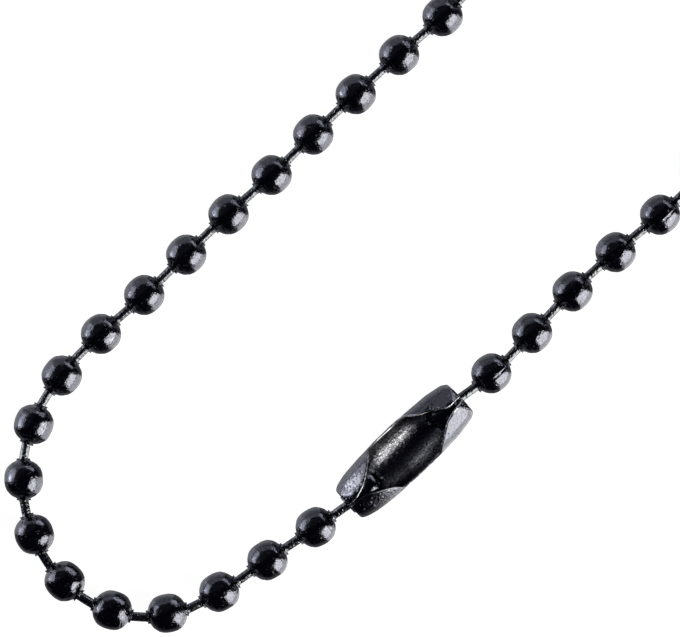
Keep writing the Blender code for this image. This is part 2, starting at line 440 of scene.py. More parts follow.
def resting_height(slope):
    """Height of a bead's centre when its middle band touches the floor."""
    rise = math.radians(abs(slope))
    band = bead_ring(ROUTE_BAND_ANGLE, ROUTE_HALF_LENGTH, 1)[0]
    return flat_radius() * math.cos(rise) + band * math.sin(rise)


def pin_gap(turn_before, turn_after):
    """Visible length of a pin, which is shorter where the chain turns."""
    turn = max(abs(turn_before), abs(turn_after))
    return PIN_GAP - BEND_SLACK * min(1.0, turn / FULL_TURN)


def lay_strand(side, headings, closing):
    """Beads as (centre, axis) pairs, walking out of one end of the coupling."""
    turns = (90 - 90 * side,) + tuple(headings) + (closing,)
    slopes = (0.0,) + LEAD_SLOPES + (0.0,) * (len(headings) - 1)
    centre = Vector((side * BEAD_SEAT, 0, coupling_axis_height()))
    axis = direction(turns[0])
    beads = [(centre, axis)]
    for k in range(1, len(headings) + 1):
        gap = pin_gap(turns[k] - turns[k - 1], turns[k + 1] - turns[k])
        if k == 1:
            gap = LEAD_PIN_GAP
        slope = (slopes[k] + slopes[k + 1]) / 2
        next_axis = direction((turns[k] + turns[k + 1]) / 2, slope)
        centre = centre + LIP_REACH * (axis + next_axis) + gap * direction(turns[k], slopes[k])
        centre.z = max(centre.z, resting_height(slope))
        axis = next_axis
        beads.append((centre, axis))
    return beads


def lay_chain():
    """All beads in order around the loop, and the middle of the coupling, in the frame."""
    far_bend = tuple(FAR_BEND_START + k * FAR_BEND_TURN for k in range(FAR_BEND_LINKS))
    right = lay_strand(1, RIGHT_STRAND + (0.0,) + far_bend, CLOSING_HEADING)
    left = lay_strand(-1, LEFT_STRAND, CLOSING_HEADING - 180)
    beads = right + [(centre, -axis) for centre, axis in reversed(left)]
    xs = [centre.x for centre, _ in beads]
    ys = [centre.y for centre, _ in beads]
    lowest_y = -BARREL_RADIUS * MM
    middle = Vector(((min(xs) + max(xs)) / 2, (lowest_y + max(ys) + flat_radius()) / 2, 0))
    coupling = Vector((0, 0, coupling_axis_height())) - middle
    return [(centre - middle, axis) for centre, axis in beads], coupling


def bead_node(k):
    """CAD node that the k-th bead stands for."""
    far_start = len(RIGHT_STRAND) + 1
    if k < far_start:
        return f"bead_{k + 1:02d}"
    if k >= far_start + sum(FAR_RUNS):
        return f"bead_{k + 1 - sum(FAR_RUNS):02d}"
    past = far_start
    for number, count in enumerate(FAR_RUNS, 1):
        past += count
        if k < past:
            return f"far_beads_{number}"


def link_node(k):
    """CAD node that the link after the k-th bead stands for."""
    before = bead_node(k)
    after = bead_node(k + 1)
    if before == after:
        return before
    if before.startswith("far_beads") and after.startswith("far_beads"):
        return "far_link_" + before[-1]
    last_right = len(RIGHT_STRAND)
    number = k + 1 if k <= last_right else k + 2 - sum(FAR_RUNS)
    return f"link_{number:02d}"


# Modelling helpers

def select_nothing():
    """Clear the selection, so that an operator touches only the piece in hand."""
    bpy.ops.object.select_all(action="DESELECT")


def take(thing):
    """Make one object the selected and active one."""
    select_nothing()
    thing.select_set(True)
    bpy.context.view_layer.objects.active = thing


def new_vertex(place):
    """Add one selected vertex to the mesh in edit mode."""
    bpy.ops.mesh.primitive_plane_add(size=SEED_SIZE, location=place)
    bpy.ops.mesh.merge(type="CENTER")


def begin_piece(name, place):
    """A new piece in edit mode that is one selected vertex."""
    select_nothing()
    bpy.ops.mesh.primitive_plane_add(size=SEED_SIZE, location=(0, 0, 0))
    shape = bpy.context.object
    shape.name = name
    bpy.ops.object.mode_set(mode="EDIT")
    bpy.ops.mesh.select_mode(type="VERT")
    bpy.ops.mesh.delete(type="VERT")
    new_vertex(place)
    return shape


def select_vertices(shape, test):
    """Select the vertices in edit mode whose place passes a test."""
    mesh = bmesh.from_edit_mesh(shape.data)
    for vertex in mesh.verts:
        vertex.select_set(test(vertex.co))
    mesh.select_flush_mode()
    bmesh.update_edit_mesh(shape.data)


def turn_profile(name, outline, steps):
    """Piece turned around Z from (radius, height) points."""
    points = [Vector((radius, 0, height)) for radius, height in outline]
    shape = begin_piece(name, points[0])
    for here, there in zip(points, points[1:]):
        bpy.ops.mesh.extrude_vertices_move(TRANSFORM_OT_translate={"value": there - here})
    bpy.ops.mesh.select_all(action="SELECT")
    bpy.ops.mesh.spin(steps=steps, angle=math.tau, center=(0, 0, 0), axis=(0, 0, 1))
    bpy.ops.mesh.select_all(action="SELECT")
    bpy.ops.mesh.remove_doubles(threshold=WELD)
    bpy.ops.mesh.normals_make_consistent(inside=False)
    bpy.ops.object.mode_set(mode="OBJECT")
    return shape


def smooth(shape):
    """Smooth shading that keeps the sharp corners."""
    take(shape)
    bpy.ops.object.shade_smooth_by_angle(angle=SMOOTH_ANGLE)


def apply_modifier(shape, modifier):
    """Turn a modifier into mesh."""
    take(shape)
    bpy.ops.object.modifier_apply(modifier=modifier.name)


def dent(shape, size, depth):
    """Press shallow uneven dents into a piece that is at its final place."""
    clouds = bpy.data.textures.new("dents", "CLOUDS")
    clouds.noise_scale = size
    clouds.noise_depth = 1
    press = shape.modifiers.new("dents", "DISPLACE")
    press.texture = clouds
    press.texture_coords = "GLOBAL"
    press.strength = depth
    press.mid_level = 0.5
    apply_modifier(shape, press)
    bpy.data.textures.remove(clouds)


def stand_along(shape, centre, axis, roll):
    """Lay a turned piece along a direction, rolled by degrees from its upright place."""
    take(shape)
    side = UP.cross(axis).normalized()
    lift = axis.cross(side)
    basis = Matrix((lift, axis.cross(lift), axis)).transposed()
    spin = basis @ Matrix.Rotation(math.radians(roll), 3, "Z")
    shape.matrix_world = Matrix.Translation(centre) @ spin.to_4x4()
    bpy.ops.object.transform_apply(location=True, rotation=True, scale=True)


def copy_of(master, name):
    """Copy of a finished piece, with a mesh of its own."""
    take(master)
    bpy.ops.object.duplicate()
    piece = bpy.context.object
    piece.name = name
    piece.data.name = name
    return piece


def mark(shape, name, amount):
    """Store a value from 0 to 1 at each vertex as an attribute, such as how far it is rubbed."""
    values = [min(1.0, max(0.0, amount(vertex.co))) for vertex in shape.data.vertices]
    attribute = shape.data.attributes.new(name, "FLOAT", "POINT")
    attribute.data.foreach_set("value", values)


def enter_piece(piece, node):
    """Attach a piece to the body that it rides on, and hide the CAD part that it stands for."""
    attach(piece, BODY)
    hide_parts(node)


# Shader helpers

def add(tree, kind, **settings):
    """New node with its settings."""
    node = tree.nodes.new(kind)
    for name, value in settings.items():
        setattr(node, name, value)
    return node


def feed(tree, socket, value):
    """Set a socket to a value, or link it to another socket."""
    if isinstance(value, bpy.types.NodeSocket):
        tree.links.new(value, socket)
    else:
        socket.default_value = value


def fill(tree, node, **values):
    """Feed a node's sockets by their names, with spaces written as _."""
    for name, value in values.items():
        feed(tree, node.inputs[name.replace("_", " ")], value)


def new_group(name, inputs, outputs):
    """Group with a vector and named values, the sockets that it is given, and its end node."""
    group = bpy.data.node_groups.new(name, "ShaderNodeTree")
    group.interface.new_socket(name="Vector", in_out="INPUT", socket_type="NodeSocketVector")
    for label in inputs:
        group.interface.new_socket(name=label, in_out="INPUT", socket_type="NodeSocketFloat")
    for label in outputs:
        group.interface.new_socket(name=label, in_out="OUTPUT", socket_type="NodeSocketFloat")
    return group, add(group, "NodeGroupInput").outputs, add(group, "NodeGroupOutput")


def maths(tree, operation, first, second):
    """Math node; each operand is a socket or a number."""
    node = add(tree, "ShaderNodeMath", operation=operation)
    feed(tree, node.inputs[0], first)
    feed(tree, node.inputs[1], second)
    return node.outputs[0]


def remap(tree, value, low, high, to_low=0.0, to_high=1.0):
    """Map Range node from a socket; the value is held between its ends."""
    node = add(tree, "ShaderNodeMapRange", interpolation_type="SMOOTHSTEP")
    fill(tree, node, Value=value, From_Min=low, From_Max=high, To_Min=to_low, To_Max=to_high)
    return node.outputs["Result"]


def noise(tree, vector, scale, detail=2.0):
    """Noise texture from 0 to 1; its scale is a socket or a number."""
    node = add(tree, "ShaderNodeTexNoise")
    fill(tree, node, Vector=vector, Scale=scale, Detail=detail)
    return node.outputs["Fac"]


def mix_colour(tree, mask, first, second):
    """Colour that goes from the first to the second with a mask."""
    node = add(tree, "ShaderNodeMix", data_type="RGBA")
    fill(tree, node, Factor=mask)
    for label, colour in (("A", first), ("B", second)):
        socket = [s for s in node.inputs if s.name == label and s.type == "RGBA"][0]
        is_socket = isinstance(colour, bpy.types.NodeSocket)
        feed(tree, socket, colour if is_socket else (*colour, 1.0))
    return [s for s in node.outputs if s.type == "RGBA"][0]


def uneven(tree, place, scale, *ends):
    """Value that follows a noise between the ends that remap takes."""
    return remap(tree, noise(tree, place, scale), *ends)


def stored(tree, name):
    """Value that the mesh stores under a name; it is 0 where there is none."""
    return add(tree, "ShaderNodeAttribute", attribute_name=name).outputs["Fac"]


def pitted_lacquer():
    """Group: height in mm of fine pits and slow waves in a sprayed skin, and a pit mask."""
    name = "pitted_lacquer"
    if name in bpy.data.node_groups:
        return bpy.data.node_groups[name]
    labels = ("Grain Scale", "Grain Depth", "Wave Scale", "Wave Depth", "Pit Depth")
    group, given, end = new_group(name, labels, ("Height", "Pits"))
    vector = given["Vector"]
    grain = noise(group, vector, given["Grain Scale"])
    wave = noise(group, vector, given["Wave Scale"], detail=1.0)
    cells = add(group, "ShaderNodeTexVoronoi")
    pit_scale = maths(group, "MULTIPLY", given["Grain Scale"], PIT_SHARE)
    fill(group, cells, Vector=vector, Scale=pit_scale)
    pits = remap(group, cells.outputs["Distance"], *PIT_EDGE)
    grain_height = maths(group, "MULTIPLY", grain, given["Grain Depth"])
    wave_height = maths(group, "MULTIPLY", wave, given["Wave Depth"])
    pit_height = maths(group, "MULTIPLY", pits, given["Pit Depth"])
    skin = maths(group, "ADD", grain_height, wave_height)
    fill(group, end, Height=maths(group, "SUBTRACT", skin, pit_height), Pits=pits)
    return group


def rubbed_metal():
    """Group: mask of bare metal where handling wears the skin, which also carries the coupling's
    painted highlights, and of small nicks.
    """
    name = "rubbed_metal"
    if name in bpy.data.node_groups:
        return bpy.data.node_groups[name]
    group, given, end = new_group(name, ("Wear", "Patch Scale", "Nick Scale"), ("Mask",))
    vector = given["Vector"]
    patches = noise(group, vector, given["Patch Scale"], detail=3.0)
    raised = maths(group, "ADD", maths(group, "MULTIPLY", given["Wear"], RUB_AND_HIGHLIGHT_SHARE), patches)
    worn = remap(group, raised, *WORN_AND_HIGHLIGHT_EDGE)
    stretched = add(group, "ShaderNodeMapping")
    fill(group, stretched, Vector=vector, Rotation=NICK_TURN, Scale=NICK_STRETCH)
    lines = noise(group, stretched.outputs["Vector"], given["Nick Scale"], detail=0.0)
    nicks = remap(group, lines, *NICK_EDGE)
    fill(group, end, Mask=maths(group, "MAXIMUM", worn, nicks))
    return group


def lacquer_skin(tree, place, grain_scale, wave_scale, depths):
    """Height and pits of a lacquer, from its scales per metre and its depths in mm."""
    node = add(tree, "ShaderNodeGroup", node_tree=pitted_lacquer())
    grain, wave, pit = depths
    fill(tree, node, Vector=place, Grain_Scale=grain_scale, Grain_Depth=grain,
         Wave_Scale=wave_scale, Wave_Depth=wave, Pit_Depth=pit)
    return node.outputs


def rub_and_highlight_mask(tree, place, scales):
    """Mask of bare metal where the piece is worn, together with the painted highlights stored with
    the wear, from the scales of its patches and nicks.
    """
    node = add(tree, "ShaderNodeGroup", node_tree=rubbed_metal())
    patch, nick = scales
    fill(tree, node, Vector=place, Wear=stored(tree, "wear_and_highlight"), Patch_Scale=patch, Nick_Scale=nick)
    return node.outputs["Mask"]


def new_finish(name):
    """Material with its tree, its shader and the Object coordinates."""
    material = bpy.data.materials.new(name)
    material.use_nodes = True
    tree = material.node_tree
    place = add(tree, "ShaderNodeTexCoord")
    return material, tree, tree.nodes["Principled BSDF"], place.outputs["Object"]


def join_metal(tree, shader, shade, rough, height):
    """Give a metal its colour and roughness, and a bump from a height in mm."""
    bump = add(tree, "ShaderNodeBump")
    fill(tree, bump, Strength=1.0, Distance=MM, Height=height)
    fill(tree, shader, Metallic=1.0, Base_Color=shade, Roughness=rough,
         Normal=bump.outputs["Normal"])


def lacquer_finish(name, finish, depths, gloss):
    """Glossy blue-black lacquer with pits, and bare metal where it is rubbed, which on the
    coupling's flap is also a painted highlight.
    """
    material, tree, shader, place = new_finish(name)
    skin = lacquer_skin(tree, place, 1 / finish.grain_size, 1 / finish.wave_size, depths)
    rubbed = rub_and_highlight_mask(tree, place, LACQUER_RUBBING)
    blotches = uneven(tree, place, 1 / (BLOTCH_SHARE * finish.grain_size), *BLOTCH_EDGE)
    darker = tuple(channel * DARK_SHARE for channel in finish.lacquer_colour)
    body = mix_colour(tree, blotches, darker, finish.lacquer_colour)
    # Rubbed metal colour; on the coupling's flap it is also a painted highlight
    shade = mix_colour(tree, rubbed, body, finish.worn_and_highlight_colour)
    patchy = uneven(tree, place, *LACQUER_PATCHES, *gloss)
    rougher = maths(tree, "MULTIPLY", skin["Pits"], PIT_ROUGHNESS)
    bare = maths(tree, "MULTIPLY", rubbed, BARE_ROUGHNESS)
    rough = maths(tree, "MAXIMUM", maths(tree, "ADD", patchy, rougher), bare)
    coarse = maths(tree, "MULTIPLY", noise(tree, place, GRIT_SCALE), stored(tree, "grit"))
    grit = maths(tree, "MULTIPLY", coarse, GRIT_DEPTH)
    join_metal(tree, shader, shade, rough, maths(tree, "ADD", skin["Height"], grit))
    return material


def link_finish(name, finish):
    """Drawn wire: bright under thin black lacquer, with coarse grain."""
    material, tree, shader, place = new_finish(name)
    skin = lacquer_skin(tree, place, 1 / finish.grain_size, LINK_WAVE_SCALE, LINK_SKIN)
    rubbed = rub_and_highlight_mask(tree, place, LINK_RUBBING)
    shade = mix_colour(tree, rubbed, finish.link_colour, finish.worn_and_highlight_colour)
    join_metal(tree, shader, shade, uneven(tree, place, *LINK_PATCHES), skin["Height"])
    return material


def inside_finish(name, finish):
    """Inside of the rolled sheet: rough black with coarse grain, brightened partly by the bead's
    rubbing and partly by a painted highlight along the streak of reflected light.
    """
    material, tree, shader, place = new_finish(name)
    grain_scale = 1 / (INSIDE_GRAIN_SHARE * finish.grain_size)
    skin = lacquer_skin(tree, place, grain_scale, INSIDE_WAVE_SCALE, INSIDE_SKIN)
    specks = uneven(tree, place, *INSIDE_SPECKS)
    # Painted highlight along the reflected streak, together with the bead's rubbing
    rubbed = maths(tree, "MULTIPLY", stored(tree, "wear_and_highlight"), specks)
    shade = mix_colour(tree, rubbed, finish.inside_colour, finish.worn_and_highlight_colour)
    join_metal(tree, shader, shade, uneven(tree, place, *INSIDE_PATCHES), skin["Height"])
    return material


def cut_edge_finish(name, finish):
    """Sheared edge of the sheet: thinly coated with bright specks, and bare at its burrs, whose
    near-white colour also paints highlight lines along the edge.
    """
    material, tree, shader, place = new_finish(name)
    skin = lacquer_skin(tree, place, EDGE_GRAIN_SCALE, EDGE_WAVE_SCALE, EDGE_SKIN)
    specks = uneven(tree, place, *EDGE_SPECKS)
    burr_and_highlight = stored(tree, "burr_and_highlight")
    coat = mix_colour(tree, specks, finish.lacquer_colour, finish.worn_and_highlight_colour)
    # Near-white burr colour: bare metal that also paints a highlight line on the cut edge
    shade = mix_colour(tree, burr_and_highlight, coat, BURR_HIGHLIGHT_COLOUR)
    patchy = uneven(tree, place, *EDGE_PATCHES)
    rough = maths(tree, "MAXIMUM", patchy, maths(tree, "MULTIPLY", burr_and_highlight, BURR_ROUGHNESS))
    join_metal(tree, shader, shade, rough, skin["Height"])
    return material


def dress(shape, *materials):
    """Give a piece its material slots."""
    shape.data.materials.clear()
    for material in materials:
        shape.data.materials.append(material)


# Bead

def bead_outline(sizes):
    """Closed outline of a bead's wall, as (radius, height) pairs."""
    half = []
    angle = 90.0
    while angle >= BEAD_LAST_ANGLE:
        height, radius = bead_ring(angle, sizes.half_length, sizes.radius)
        pressed = min(1.0, max(0.0, (CREASE_ANGLE - angle) / CREASE_WIDTH + 0.5))
        shrink = 1 - pressed * sizes.crease_depth / sizes.radius
        half.append((radius * shrink, height * shrink))
        near_crease = abs(angle - CREASE_ANGLE) <= BEAD_ANGLE_STEP
        angle -= CREASE_WIDTH / 2 if near_crease else BEAD_ANGLE_STEP
    half += [(radius * MM, height * MM) for radius, height in LIP_OUTLINE + INSIDE_OUTLINE]
    mirrored = [(radius, -height) for radius, height in half[-2:0:-1]]
    return half + mirrored + [half[0]]


def open_seam(shape, sizes):
    """Press the seam where the two edges of the sheet meet, at the bead's +X side."""
    outer = INSIDE_OUTLINE[-1][0] * MM

    def on_seam(place):
        inside_span = SEAM_SPAN[0] * MM < place.z < SEAM_SPAN[1] * MM
        far_out = place.length > outer
        return inside_span and far_out and place.x > 0 and abs(place.y) < SEAM_SHIFT * MM

    take(shape)
    bpy.ops.object.mode_set(mode="EDIT")
    select_vertices(shape, on_seam)
    bpy.ops.mesh.bevel(offset_type="PERCENT", offset_pct=SEAM_SHARE, segments=2, affect="EDGES")
    for lowest in SEAM_PRESSES:
        select_vertices(shape, lambda place: on_seam(place) and place.z > lowest * MM)
        bpy.ops.transform.translate(value=(-sizes.seam_depth / 2, -SEAM_SHIFT * MM / 2, 0))
    bpy.ops.object.mode_set(mode="OBJECT")


def notch_ears(shape):
    """Notch the collar around each hole and press the gaps between the sheet's lobes."""
    take(shape)
    bpy.ops.object.mode_set(mode="EDIT")
    for end in (-1, 1):
        for turn in EAR_NOTCHES:
            middle = math.radians(turn + EAR_TWIST * end)

            def within(place, half_width):
                off = (math.atan2(place.y, place.x) - middle + math.pi) % math.tau - math.pi
                return abs(off) < math.radians(half_width)

            def in_notch(place):
                on_collar = end * place.z > EAR_START * MM
                outside = place.xy.length > EAR_NOTCH_INNER * MM
                return on_collar and outside and within(place, EAR_NOTCH_WIDTH)

            def in_gap(place):
                in_span = GAP_SPAN[0] * MM < end * place.z < GAP_SPAN[1] * MM
                outside = place.length > OUTER_WALL * MM
                return in_span and outside and within(place, GAP_HALF_WIDTH)

            for test, press in ((in_notch, EAR_PRESS), (in_gap, GAP_PRESS)):
                select_vertices(shape, test)
                bpy.ops.transform.resize(value=press, center_override=(0, 0, 0))
    bpy.ops.object.mode_set(mode="OBJECT")


def fading(value, most, middle, fade):
    """Rubbing that falls off on both sides of a middle."""
    return most - abs(value - middle) / fade


def bead_wear(place):
    """Rubbing on a bead: its collars, its creases and the edges of its seam."""
    if place.xy.length / MM <= UNRUBBED_RADIUS:
        return 0.0
    height = abs(place.z) / MM
    collar = min(COLLAR_WEAR, (height - EAR_START) / COLLAR_FADE)
    crease = fading(height, *CREASE_WEAR)
    beside_seam = 0.0
    if place.x > 0 and SEAM_SPAN[0] < place.z / MM < SEAM_SPAN[1]:
        beside_seam = fading(abs(place.y) / MM, *SEAM_WEAR)
    return max(collar, crease, beside_seam)


class BeadSizes(bpy.types.PropertyGroup):
    """Sizes of the beads."""

    radius: length_setting("Radius", "Radius of a bead at its middle", 1.195, 0.2)
    half_length: length_setting(
        "Half length", "Distance from a bead's middle to the end of its rounded part", 1.21, 0.2)
    crease_depth: depth_setting("Crease depth", "Step of the formed ring around each end", 0.014)
    seam_depth: depth_setting(
        "Seam depth", "Depth of the groove where the sheet's edges meet", 0.03)
    dent_depth: depth_setting(
        "Dent depth", "Height of the shallow unevenness of a formed bead", 0.035)
    dent_size: length_setting("Dent size", "Width of one shallow dent", 0.7, 0.1)


class BALLCHAIN_OT_beads(bpy.types.Operator):
    """Model one bead and lay its copies around the loop"""

    bl_idname = "ball_chain.beads"
    bl_label = "Beads"

    def execute(self, context):
        """Turn, crease and seam the bead, then place every copy."""
        sizes = context.scene.chain_beads
        finish = context.scene.chain_finish
        black = lacquer_finish("bead_lacquer", finish, BEAD_SKIN, BEAD_GLOSS)
        master = turn_profile("bead_master", bead_outline(sizes), BEAD_STEPS)
        open_seam(master, sizes)
        notch_ears(master)
        mark(master, "wear_and_highlight", bead_wear)
        dress(master, black)
        beads, _ = lay_chain()
        rolls = random.Random(ROLL_SEED)
        for k, (centre, axis) in enumerate(beads):
            roll = rolls.uniform(*HIDDEN_SEAM_ROLL)
            roll = SEEN_SEAMS.get(k, roll)
            shift = Vector((END_BEAD_SHIFTS.get(bead_node(k), 0.0) * MM, 0, 0))
            ball = copy_of(master, f"ball_{k + 1:02d}")
            stand_along(ball, centre + shift, axis, roll)
            dent(ball, sizes.dent_size, sizes.dent_depth)
            smooth(ball)
            enter_piece(ball, bead_node(k))
        bpy.data.objects.remove(master, do_unlink=True)
        return {"FINISHED"}


# Link

def link_outline(sizes):
    """Outline of a link from the end of one head to the other, as (radius, height) pairs."""
    pin = sizes.pin_radius
    half = []
    for ring in PIN_RINGS:
        depth = sizes.notch_depth if ring == NOTCH_PLACE else 0.0
        half.append((pin - depth, ring * MM))
    for angle in HEAD_ANGLES:
        turn = math.radians(angle)
        height = HEAD_MIDDLE + HEAD_RADIUS * math.cos(turn)
        half.append((HEAD_RADIUS * MM * math.sin(turn), height * MM))
    plain = [point for point in half if abs(point[1] - NOTCH_PLACE * MM) > ON_LINE]
    return [(radius, -height) for radius, height in plain[:0:-1]] + half


def link_wear(place):
    """Rubbing on a link: most where its pin runs through the lips."""
    return fading(abs(place.z) / MM, *LINK_WEAR)


class LinkSizes(bpy.types.PropertyGroup):
    """Sizes of the links."""

    pin_radius: length_setting("Pin radius", "Radius of the wire between two beads", 0.285, 0.05)
    notch_depth: depth_setting(
        "Notch depth", "Depth of the tool mark around one end of the pin", 0.014)


class BALLCHAIN_OT_links(bpy.types.Operator):
    """Model one dumbbell link and put its copies between the beads"""

    bl_idname = "ball_chain.links"
    bl_label = "Links"

    def execute(self, context):
        """Turn the link, then place every copy."""
        sizes = context.scene.chain_links
        wire = link_finish("link_wire", context.scene.chain_finish)
        master = turn_profile("link_master", link_outline(sizes), LINK_STEPS)
        mark(master, "wear_and_highlight", link_wear)
        dress(master, wire)
        beads, _ = lay_chain()
        rolls = random.Random(ROLL_SEED + 1)
        for k in range(len(beads) - 1):
            start = beads[k][0] + beads[k][1] * LIP_REACH
            end = beads[k + 1][0] - beads[k + 1][1] * LIP_REACH
            along = (end - start).normalized() * rolls.choice((-1, 1))
            dumbbell = copy_of(master, f"dumbbell_{k + 1:02d}")
            stand_along(dumbbell, (start + end) / 2, along, rolls.uniform(0, 360))
            dent(dumbbell, LINK_DENT_SIZE * MM, LINK_DENT_DEPTH * MM)
            smooth(dumbbell)
            enter_piece(dumbbell, link_node(k))
        bpy.data.objects.remove(master, do_unlink=True)
        return {"FINISHED"}


# Coupling

def smooth_rows(rows, between):
    """Rows with more rows between them, on a smooth curve through all of them."""
    points = [Vector(row) for row in rows]
    places = [0.0]
    for here, there in zip(points, points[1:]):
        places.append(places[-1] + (there - here).length)
    slopes = []
    for k in range(len(points)):
        before = max(k - 1, 0)
        after = min(k + 1, len(points) - 1)
        slopes.append((points[after] - points[before]) / (places[after] - places[before]))
    finer = []
    for k in range(len(points) - 1):
        span = places[k + 1] - places[k]
        for step in range(between + 1):
            t = step / (between + 1)
            ease = t * t * (3 - 2 * t)
            row = points[k] * (1 - ease) + points[k + 1] * ease
            row += slopes[k] * span * t * (1 - t) ** 2
            row -= slopes[k + 1] * span * t * t * (1 - t)
            finer.append(row)
    finer.append(points[-1])
    return finer


def on_arc(place, row):
    """Whether a point lies on the arc of sheet at one row."""
    off_radius = abs(math.hypot(place.y, place.z) - row[1] * MM)
    return abs(place.x - row[0] * MM) < ROW_TOLERANCE and off_radius < ROW_TOLERANCE


def lift_sheet(height, falloff, reach):
    """Lift the selected part of the sheet, and less and less of what it is joined to, in mm."""
    bpy.ops.transform.translate(
        value=(0, 0, height * MM),
        use_proportional_edit=True,
        use_proportional_connected=True,
        proportional_edit_falloff=falloff,
        proportional_size=reach * MM,
    )


def shape_roof(barrel):
    """Raise each flap along its slit and press it flat beside it, and let one flap sag."""
    for (end, side), rise in RIDGE_RISES.items():

        def on_strip(place, low, high):
            along, across = end * place.x / MM, side * place.y / MM
            return ROOF_SPAN[0] < along < ROOF_SPAN[1] and low < across < high and place.z > 0

        for strip, height, falloff, reach in (
            (ROOF_STRIP, rise, "SHARP", RIDGE_REACH),
            (FLAT_PLACE, -FLAT_PRESS * rise, "SMOOTH", FLAT_REACH),
        ):
            select_vertices(barrel, lambda place: on_strip(place, *strip))
            lift_sheet(height, falloff, reach)

    def on_sagging_flap(place):
        at_end = place.x < SAG_START * MM
        return at_end and place.y < SAG_SIDE * MM and place.z > SAG_HEIGHT * MM

    select_vertices(barrel, on_sagging_flap)
    lift_sheet(-SAG, "SMOOTH", SAG_REACH)


def roll_sheet(rows):
    """Spin an arc of sheet at every row, bridge the arcs, and turn the outside outwards."""
    barrel = None
    for along, radius, upper, lower in rows:
        opening = cut_angle(upper, radius)
        closing = cut_angle(-lower, radius)
        start = Vector((along, radius * math.sin(opening), radius * math.cos(opening))) * MM
        if barrel is None:
            barrel = begin_piece("barrel", start)
        else:
            new_vertex(start)
        bpy.ops.mesh.spin(
            steps=COUPLING_STEPS,
            angle=math.tau - opening - closing,
            center=(along * MM, 0, 0),
            axis=(1, 0, 0),
        )
    for here, there in zip(rows, rows[1:]):
        select_vertices(barrel, lambda place: on_arc(place, here) or on_arc(place, there))
        bpy.ops.mesh.bridge_edge_loops()
    bpy.ops.mesh.select_all(action="SELECT")
    bpy.ops.mesh.remove_doubles(threshold=WELD)
    shape_roof(barrel)
    bpy.ops.mesh.select_all(action="SELECT")
    bpy.ops.mesh.normals_make_consistent(inside=False)
    bpy.ops.object.mode_set(mode="OBJECT")
    belly = min(barrel.data.polygons, key=lambda face: face.center.z)
    if belly.normal.z > 0:
        take(barrel)
        bpy.ops.object.mode_set(mode="EDIT")
        bpy.ops.mesh.select_all(action="SELECT")
        bpy.ops.mesh.flip_normals()
        bpy.ops.object.mode_set(mode="OBJECT")
    return barrel


def thicken(barrel, sizes):
    """Give the sheet its wall, with its own finish inside and on the cut, and round its edges."""
    wall = barrel.modifiers.new("wall", "SOLIDIFY")
    wall.thickness = sizes.sheet
    wall.offset = -1
    wall.use_even_offset = True
    wall.material_offset = 1
    wall.material_offset_rim = 2
    apply_modifier(barrel, wall)
    rounding = barrel.modifiers.new("rounding", "BEVEL")
    rounding.width = sizes.edge_rounding
    rounding.segments = EDGE_SEGMENTS
    rounding.limit_method = "ANGLE"
    rounding.angle_limit = EDGE_ANGLE
    rounding.use_clamp_overlap = False
    apply_modifier(barrel, rounding)


def oval_patch(along, across, middle_along, middle_across, reach_along, reach_across):
    """Amount that falls off evenly around the middle of an oval patch."""
    off = math.hypot((along - middle_along) / reach_along, (across - middle_across) / reach_across)
    return PATCH_CORE - off


def inside_rub_and_highlight(along, across):
    """Brighter metal inside the coupling: rubbing where the bead slides in through the mouth, and a
    painted highlight laid along the streak of reflected light.
    """
    middle, most = INSIDE_RUB_AND_HIGHLIGHT[0] if across > 0 else INSIDE_RUB_AND_HIGHLIGHT[1]
    lengthwise = max(0.0, 1 - ((along - middle) / INSIDE_REACH) ** 2)
    return most * math.sqrt(lengthwise) * min(1.0, (abs(across) - INSIDE_START) / INSIDE_GROWTH)


def coupling_rub_and_highlight(place, rows, sheet):
    """Rubbing on the coupling along the cut and on the shoulders, and brighter metal inside it and
    on one flap that is partly a painted highlight.
    """
    along, across = place.x / MM, place.y / MM
    _, radius, upper, lower = min(rows, key=lambda row: abs(row[0] - along))
    if math.hypot(place.y, place.z) < radius * MM - INNER_SHARE * sheet:
        # Inside, the brighter metal is partly a painted highlight along the reflected streak
        return inside_rub_and_highlight(along, across)
    angle = math.atan2(place.y, place.z)
    from_upper = angle - cut_angle(upper, radius)
    from_lower = -cut_angle(-lower, radius) - angle
    near = radius * min(abs(from_upper), abs(from_lower))
    band = BAND_WEAR * (1 - near / RUBBED_BAND)
    shoulder = fading(abs(along), *SHOULDER_WEAR)
    # Painted highlight on the upper left flap, carried as rubbed metal
    flap = FLAP_RUB_AND_HIGHLIGHT * oval_patch(along, across, *FLAP_PATCH) if place.z > 0 else 0.0
    return max(band, shoulder, min(flap, FLAP_MOST))


def coupling_grit(place):
    """Coarse grain of the lacquer at the coupling's left end, and at its lower right shoulder."""
    along, across = place.x / MM, place.y / MM
    most = GRIT_LOWER if across < 0 else GRIT_UPPER
    left_end = most * min(1.0, (GRIT_START - along) / GRIT_GROWTH)
    return max(left_end, oval_patch(along, across, *GRIT_PATCH))


def coupling_burr_and_highlight(place):
    """Bright burr that the shears left along parts of the cut edge, which also paints highlight
    lines there.
    """
    radius = math.hypot(place.y, place.z) / MM
    amount = 0.0
    for middle, half_length, side, largest in BURRS_AND_HIGHLIGHT_LINES:
        if side * place.y > 0 and radius < largest:
            share = 1 - abs(place.x / MM - middle) / half_length
            amount = max(amount, BURR_HIGHLIGHT_STRENGTH * share)
    return amount


class CouplingSizes(bpy.types.PropertyGroup):
    """Sizes of the coupling."""

    sheet: length_setting("Sheet thickness", "Thickness of the rolled sheet", 0.15, 0.02)
    edge_rounding: depth_setting(
        "Edge rounding", "Width of the rounding along the cut edges", 0.062)
    dent_depth: depth_setting(
        "Dent depth", "Height of the shallow unevenness of the rolled sheet", 0.04)
    dent_size: length_setting("Dent size", "Width of one shallow dent in the sheet", 1.6, 0.1)


